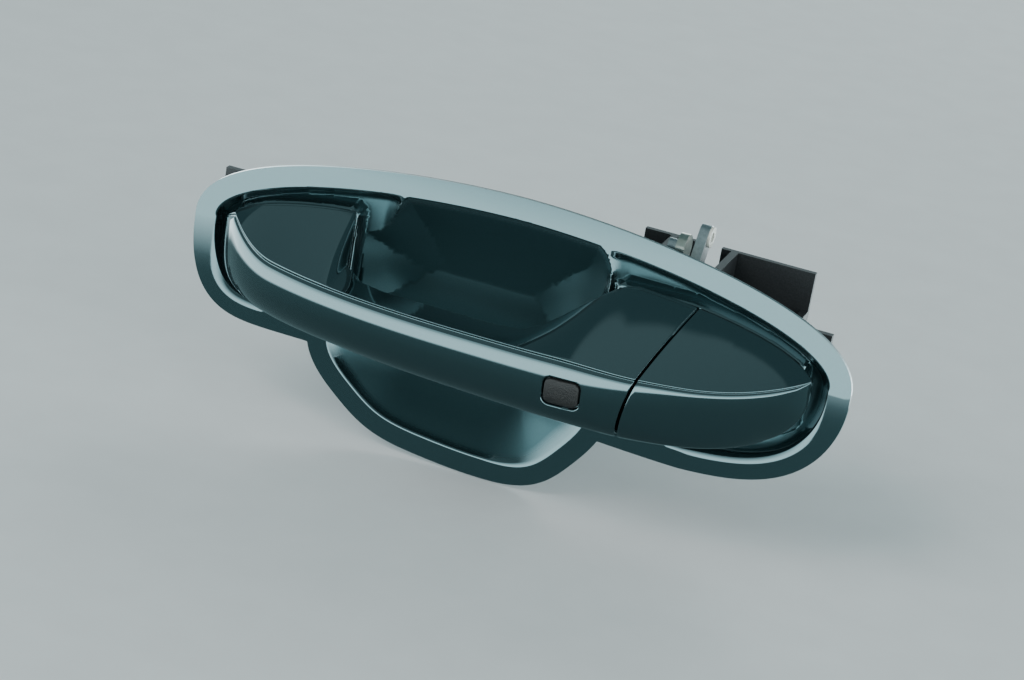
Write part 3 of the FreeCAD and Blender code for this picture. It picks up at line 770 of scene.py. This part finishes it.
def offsets_of(poly, distances, step):
    """Points on the outline's contours at these distances inside it, where such a contour exists."""
    out = []
    base = resample(poly, step)
    along = np.roll(base, -1, axis=0) - np.roll(base, 1, axis=0)
    n = np.stack([-along[:, 1], along[:, 0]], axis=1)
    n /= np.linalg.norm(n, axis=1)[:, None]
    probe = signed(poly, base + n * 0.5)
    if np.median(probe) < 0:
        n = -n
    for d in distances:
        q = base + n * d
        true = signed(poly, q)
        out.append(q[np.abs(true - d) < 0.04])
    return np.concatenate(out)


def slot_loop(x0, x1, z0, z1, step=0.7):
    """Outline of a rectangular slot."""
    return resample([(x0, z0), (x1, z0), (x1, z1), (x0, z1)], step)


def ring_loop(x, z, r, n=48):
    a = np.linspace(0, 2 * math.pi, n, endpoint=False)
    return np.stack([x + r * np.cos(a), z + r * np.sin(a)], axis=1)


# slots for the hinge arm, the pull leg and the end cap's leg; holes for the key cylinder and the screws
OPENINGS = [slot_loop(-121, -100, -7, 5), slot_loop(42.2, 53.8, -10.2, 4.2), ring_loop(90, -9, 11.5),
            slot_loop(103.4, 108.1, -13.6, -4.4, 0.5)]
SCREW_PLACES = [(-86, 12), (-86, -22), (68, -25), (112, 0)]
OPENINGS += [ring_loop(x, z, 2.1, 20) for x, z in SCREW_PLACES]


def thin_out(points, cell, keep_first):
    """Mask of the points to keep so that no two lie closer than cell. The first keep_first all stay."""
    tree = KDTree(len(points))
    for i, p in enumerate(points):
        tree.insert((p[0], p[1], 0), i)
    tree.balance()
    gone = np.zeros(len(points), bool)
    for i, p in enumerate(points):
        if gone[i]:
            continue
        for _, j, _ in tree.find_range((p[0], p[1], 0), cell):
            if j > i and j >= keep_first:
                gone[j] = True
    return ~gone


CLOSEST = 0.27              # a contour point nearer than this to another is dropped
FILL_STEP = 2.0             # spacing of the points between the contours


def recess_cup():
    """The pressed sheet: a flat triangulation, finer near every edge, raised to recess_depth."""
    rim = [-6.5, -4, -2.6, -1.7, -1.1, -0.7, -0.4, -0.1, 0.2, 0.5, 0.9, 1.4, 1.9, 2.4, 2.9, 3.4, 3.9, 4.6,
           6]
    pocket = [-4, -2.2, -1.4, -0.9, -0.6, -0.3, 0, 0.3, 0.6, 1, 1.5, 2.2, 3, 4, 5, 6, 7.5, 9, 11, 13, 15,
              18, 22]
    pads = [-7, -5, -4, -3.2, -2.6, -2.1, -1.6, -1.2, -0.8, -0.4, 0, 0.4]
    edge = np.concatenate([offsets_of(DISH, [-FLANGE], 1.2), offsets_of(POCKET, [-FLANGE], 1.2)])
    both = np.maximum(signed(DISH, edge), signed(POCKET, edge))
    edge = edge[np.abs(both + FLANGE) < 0.05]
    near = [edge] + OPENINGS
    near += [offsets_of(DISH, rim, 0.9), offsets_of(POCKET, pocket, 0.9)]
    near += [offsets_of(pad, [d - PAD_INSET for d in pads], 0.9) for pad in PADS]
    first = sum(len(p) for p in near[:1 + len(OPENINGS)])
    points = np.concatenate(near)
    points = points[thin_out(points, CLOSEST, first)]
    gx, gz = np.meshgrid(np.arange(-139, 140, FILL_STEP), np.arange(-79, 44, FILL_STEP))
    fill = np.stack([gx.ravel() + 0.3 * np.sin(gz.ravel()), gz.ravel()], axis=1)
    keep = np.maximum(signed(DISH, fill), signed(POCKET, fill)) > -FLANGE + 0.6
    fill = fill[keep]
    lone = thin_out(np.concatenate([points, fill]), FILL_STEP / 2, len(points))
    points = np.concatenate([points, fill[lone[len(points):]]])
    inside = np.maximum(signed(DISH, points), signed(POCKET, points)) > -FLANGE - 0.06
    points = points[inside]
    result = delaunay_2d_cdt([Vector(p) for p in points.tolist()], [], [], 0, 1e-5)
    flat = np.array([tuple(v) for v in result[0]])
    tris = np.array([f for f in result[2] if len(f) == 3])
    middle = flat[tris].mean(axis=1)
    keep = np.maximum(signed(DISH, middle), signed(POCKET, middle)) > -FLANGE - 0.02
    for loop in OPENINGS:
        keep &= signed(loop, middle) < 0
    tris = tris[keep]
    e = 0.02
    y = recess_depth(flat)
    fx = (recess_depth(flat + [e, 0]) - recess_depth(flat - [e, 0])) / (2 * e)
    fz = (recess_depth(flat + [0, e]) - recess_depth(flat - [0, e])) / (2 * e)
    normal = np.stack([fx, -np.ones(len(y)), fz], axis=1)
    normal /= np.linalg.norm(normal, axis=1)[:, None]
    front = np.stack([flat[:, 0], y, flat[:, 1]], axis=1)
    back = front.copy()
    back[:, 1] += np.minimum(SHEET / np.maximum(-normal[:, 1], 0.4), 4.0)
    back[:, 1] = np.minimum(back[:, 1], 23.5)
    a, b, c = flat[tris[:, 0]], flat[tris[:, 1]], flat[tris[:, 2]]
    turn = (b[:, 0] - a[:, 0]) * (c[:, 1] - a[:, 1]) - (b[:, 1] - a[:, 1]) * (c[:, 0] - a[:, 0])
    tris = np.where((turn > 0)[:, None], tris, tris[:, ::-1])
    n = len(flat)
    edges = {}
    for t in tris.tolist():
        for i in range(3):
            edges[(t[i], t[(i + 1) % 3])] = True
    rims = [e2 for e2 in edges if (e2[1], e2[0]) not in edges]
    faces = tris.tolist() + (tris[:, ::-1] + n).tolist()
    verts = [front, back]
    normals = [normal, -normal]
    count = 2 * n
    for i, j in rims:
        d = flat[j] - flat[i]
        out = np.array([d[1], 0, -d[0]]) / max(1e-9, np.hypot(*d))
        verts.append(np.array([front[i], front[j], back[j], back[i]]))
        normals.append(np.tile(out, (4, 1)))
        faces.append([count + 3, count + 2, count + 1, count])
        count += 4
    obj = mesh_object("recess_cup_skin", np.concatenate(verts), faces, cup_paint_material())
    obj.data.normals_split_custom_set_from_vertices(np.concatenate(normals).tolist())
    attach(obj, "base")
    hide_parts("recess_panel")
    return obj


recess_cup()

# ---------------------------------------------------------------- CAD nodes that stay, by their slot
slot_of = {part["node"]: part["material_slot"] for part in frame["record"]["subparts"]}
for node_name, node in frame["nodes"].items():
    material = MATS[slot_of[node_name]]
    if not node.material_slots:
        node.data.materials.append(material)
    for slot_item in node.material_slots:
        slot_item.material = material

# ---------------------------------------------------------------- camera, light and floor
CAMERA_BACK = Vector((0.2711, -0.8867, 0.3746)).normalized()
CAMERA_RIGHT = Vector((0.9246, 0.3480, 0.1546)).normalized()
CAMERA_UP = CAMERA_BACK.cross(CAMERA_RIGHT).normalized()
AIM = Vector((0.01384, -0.03670, 0.000407))
DISTANCE = 1.08
LENS_MM, SENSOR_MM = 100, 36

camera_data = bpy.data.cameras.new("camera")
camera_data.lens = LENS_MM
camera_data.sensor_width = SENSOR_MM
camera_data.clip_start = 0.01
camera = bpy.data.objects.new("camera", camera_data)
camera.matrix_world = Matrix.Translation(AIM + CAMERA_BACK * DISTANCE) @ Matrix(
    (CAMERA_RIGHT, CAMERA_UP, CAMERA_BACK)).transposed().to_4x4()
bpy.context.scene.collection.objects.link(camera)
bpy.context.scene.camera = camera


def studio_world():
    """What the paint mirrors: a bright band low down, darker above and below it. The camera itself sees
    plain pale grey."""
    world = bpy.data.worlds.new("studio")
    world.use_nodes = True
    bpy.context.scene.world = world
    nodes, links = world.node_tree.nodes, world.node_tree.links
    background = nodes["Background"]
    coord = nodes.new("ShaderNodeTexCoord")
    split = nodes.new("ShaderNodeSeparateXYZ")
    links.new(coord.outputs["Generated"], split.inputs[0])
    rise = nodes.new("ShaderNodeMath")
    rise.operation = "ARCSINE"
    links.new(split.outputs["Z"], rise.inputs[0])
    fac = range_node(nodes, links, rise.outputs[0], 0.0, 1.0, -math.pi / 2, math.pi / 2)

    def at(degrees):
        return (degrees + 90) / 180

    band = ramp_node(nodes, links, fac, [
        (at(-90), (0.09, 0.15, 0.16)), (at(-40), (0.13, 0.22, 0.235)), (at(-22.6), (0.18, 0.31, 0.33)),
        (at(-20.4), (3.75, 4.45, 4.6)), (at(-8), (3.75, 4.45, 4.6)), (at(6), (2.25, 2.8, 2.9)),
        (at(24), (0.22, 0.34, 0.36)), (at(90), (0.34, 0.48, 0.50))])
    # overhead, past a slanting line, it is dark: that draws the line across the upper flanks
    slant = nodes.new("ShaderNodeVectorMath")
    slant.operation = "DOT_PRODUCT"
    links.new(coord.outputs["Generated"], slant.inputs[0])
    slant.inputs[1].default_value = (0.45, 1.0, 0.16)
    behind = range_node(nodes, links, slant.outputs["Value"], 0.0, 1.0, -0.015, 0.015)
    high = range_node(nodes, links, split.outputs["Z"], 0.0, 1.0, 0.35, 0.5)
    both = nodes.new("ShaderNodeMath")
    both.operation = "MULTIPLY"
    links.new(behind, both.inputs[0])
    links.new(high, both.inputs[1])
    shade = nodes.new("ShaderNodeMix")
    shade.data_type = "RGBA"
    links.new(both.outputs[0], shade.inputs[0])
    links.new(band, shade.inputs[6])
    shade.inputs[7].default_value = (0.11, 0.20, 0.22, 1)
    band = shade.outputs[2]
    path = nodes.new("ShaderNodeLightPath")
    seen = nodes.new("ShaderNodeMix")
    seen.data_type = "RGBA"
    links.new(path.outputs["Is Camera Ray"], seen.inputs[0])
    links.new(band, seen.inputs[6])
    seen.inputs[7].default_value = (0.80, 0.81, 0.80, 1)
    links.new(seen.outputs[2], background.inputs["Color"])


studio_world()


def floor():
    """Pale paper just under the lowest point. Like the lamps, it doesn't show in reflections."""
    mesh = bpy.data.meshes.new("floor")
    half_size = 6.0
    level = box_at_load[0][2] - 0.0005
    corner_signs = ((-1, -1), (1, -1), (1, 1), (-1, 1))
    verts = [(sx * half_size, sy * half_size, level) for sx, sy in corner_signs]
    mesh.from_pydata(verts, [], [(0, 1, 2, 3)])
    mat, nodes, links, bsdf = node_material("floor_paper")
    tex = noise(nodes, links, 40.0, 4.0)
    paper = ramp_node(nodes, links, tex.outputs["Fac"],
                      [(0.3, (0.70, 0.71, 0.71)), (0.7, (0.73, 0.74, 0.74))])
    links.new(paper, bsdf.inputs["Base Color"])
    bsdf.inputs["Roughness"].default_value = 0.85
    mesh.materials.append(mat)
    obj = bpy.data.objects.new("floor", mesh)
    bpy.context.scene.collection.objects.link(obj)
    obj.visible_glossy = False


floor()


def area_light(name, place, size, power):
    """A rectangular lamp that faces the origin."""
    data = bpy.data.lights.new(name, "AREA")
    data.shape = "RECTANGLE"
    data.size, data.size_y = size
    data.energy = power
    obj = bpy.data.objects.new(name, data)
    obj.location = place
    obj.rotation_euler = (-Vector(place)).to_track_quat("-Z", "Y").to_euler()
    obj.visible_glossy = False
    bpy.context.scene.collection.objects.link(obj)


area_light("key_light", (-0.9, -1.3, 1.5), (1.4, 1.0), 22)
area_light("fill_light", (1.4, -0.9, 0.6), (1.0, 1.0), 8)
area_light("back_light", (0.2, 1.6, 1.1), (1.2, 0.8), 10)
